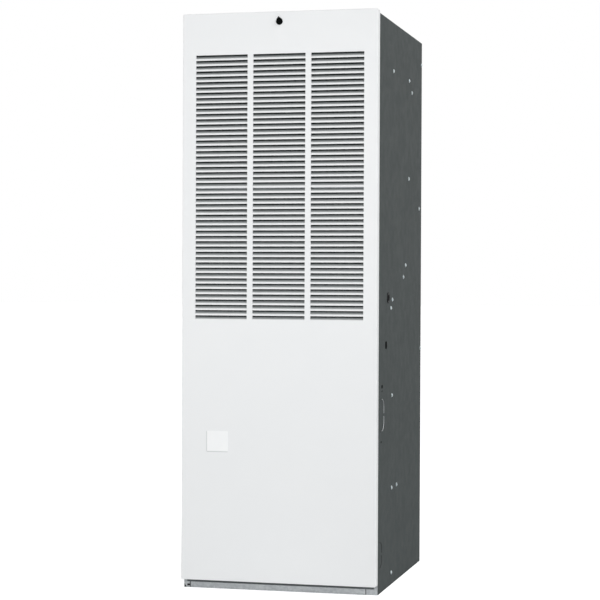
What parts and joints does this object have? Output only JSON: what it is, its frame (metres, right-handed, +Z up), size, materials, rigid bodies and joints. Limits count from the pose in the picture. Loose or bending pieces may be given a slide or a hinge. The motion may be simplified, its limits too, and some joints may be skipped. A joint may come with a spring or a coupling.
{
  "type": "forced air gas furnace",
  "caption": "Tall downflow sheet-metal gas furnace with a full-height louvred pull-off door, blower above and sealed burner and heat exchanger below.",
  "frame": {"origin": "middle of the footprint at floor level", "axes": "+X to the right seen from the door, +Y to the back, +Z up"},
  "size_m": [0.4988, 0.6182, 1.437],
  "materials": {
    "cabinet_paint": "satin grey enamel",
    "white_enamel": "smooth semi-gloss white enamel",
    "galvanised": "spangled zinc coating",
    "zinc_bright": "bright zinc plate",
    "label_film": "blank white film",
    "gasket_foam": "closed-cell foam",
    "foil_wool": "foil facing on glass wool",
    "black_liner": "coated glass-fibre liner",
    "filter_card": "card frame with pleated media",
    "black_plastic": "moulded, fine grain",
    "blue_plastic": "moulded",
    "red_plastic": "moulded",
    "white_plastic": "moulded",
    "motor_enamel": "semi-gloss black enamel",
    "steel_bright": "ground steel",
    "aluminised": "aluminised steel, dull",
    "black_pipe": "black iron pipe",
    "cast_alloy": "die cast, matt",
    "ceramic": "glazed steatite",
    "glass": "clear borosilicate",
    "silicone": "orange-red silicone",
    "wire_jacket": "bundled, taped leads",
    "circuit_board": "green solder mask",
    "transformer_iron": "varnished laminations"
  },
  "bodies": {
    "cabinet": {"cabinet_left_side": "cabinet_paint", "cabinet_right_side": "cabinet_paint", "cabinet_back": "cabinet_paint", "top_panel": "cabinet_paint", "header_rail": "cabinet_paint", "divider_rail": "galvanised", "base_pan": "galvanised", "base_front_rail": "galvanised", "base_brackets": "galvanised", "insulation_lower": "foil_wool", "insulation_upper": "black_liner", "cabinet_screws": "zinc_bright", "cable_bushing": "black_plastic", "coil_rails": "galvanised", "blower_deck": "galvanised", "vestibule_panel": "galvanised", "blower_housing": "galvanised", "blower_motor": "motor_enamel", "motor_mount": "zinc_bright", "blower_rails": "galvanised", "run_capacitor": "aluminised", "control_box": "galvanised", "control_board": "circuit_board", "transformer": "transformer_iron", "service_switch": "black_plastic", "door_switch": "black_plastic", "combustion_air_pipe": "galvanised", "flue_pipe": "galvanised", "primary_drum": "aluminised", "secondary_exchanger": "aluminised", "exchanger_tubes": "aluminised", "burner_box": "galvanised", "burner": "aluminised", "manifold_pipe": "black_pipe", "gas_valve": "cast_alloy", "ignition_rods": "ceramic", "limit_switches": "zinc_bright", "pressure_switch": "black_plastic", "pressure_tube": "silicone", "fan_housing": "galvanised", "fan_motor": "motor_enamel", "sight_glass": "glass", "wiring_harness": "wire_jacket"},
    "door": {"front_door": "white_enamel", "door_label": "label_film", "door_gasket": "gasket_foam", "door_insulation": "foil_wool", "filter_rails": "galvanised", "filter_upper": "filter_card", "filter_lower": "filter_card"},
    "latch": {"latch_knob": "black_plastic", "latch_cam": "zinc_bright"},
    "blower_rotor": {"blower_wheel": "galvanised", "blower_shaft": "steel_bright"},
    "draught_fan_rotor": {"fan_wheel": "galvanised"},
    "valve_knob": {"gas_valve_knob": "blue_plastic"},
    "rocker": {"switch_rocker": "red_plastic"},
    "plunger": {"door_switch_plunger": "white_plastic"},
    "reset": {"reset_button": "red_plastic"},
    "sight_flap": {"sight_cover": "zinc_bright"}
  },
  "joints": [
    {"name": "door_pull", "type": "slide", "parent": "cabinet", "child": "door", "axis": [0, -1, 0], "range_m": [0, 0.3]},
    {"name": "latch_turn", "type": "hinge", "parent": "door", "child": "latch", "pos_m": [0, -0.3021, 1.405], "axis": [0, 1, 0], "range_deg": [0, 90]},
    {"name": "blower_spin", "type": "hinge", "parent": "cabinet", "child": "blower_rotor", "pos_m": [-0.02, 0.1097, 0.7902], "axis": [1, 0, 0], "continuous": true},
    {"name": "draught_fan_spin", "type": "hinge", "parent": "cabinet", "child": "draught_fan_rotor", "pos_m": [-0.127, -0.1423, 0.33], "axis": [0, 1, 0], "continuous": true},
    {"name": "gas_valve_turn", "type": "hinge", "parent": "cabinet", "child": "valve_knob", "pos_m": [0.162, -0.2413, 0.308], "axis": [0, 1, 0], "range_deg": [0, 90]},
    {"name": "service_switch_rock", "type": "hinge", "parent": "cabinet", "child": "rocker", "pos_m": [0.076, -0.2393, 0.6672], "axis": [1, 0, 0], "range_deg": [0, 20]},
    {"name": "door_switch_press", "type": "slide", "parent": "cabinet", "child": "plunger", "axis": [0, 1, 0], "range_m": [0, 0.003], "stiffness_N_per_m": 150, "springref_m": -0.004},
    {"name": "reset_press", "type": "slide", "parent": "cabinet", "child": "reset", "axis": [0, 0, -1], "range_m": [0, 0.0015], "stiffness_N_per_m": 150, "springref_m": -0.002},
    {"name": "sight_cover_swing", "type": "hinge", "parent": "cabinet", "child": "sight_flap", "pos_m": [0.04, -0.2303, 0.346], "axis": [0, 1, 0], "range_deg": [-95, 95]}
  ]
}
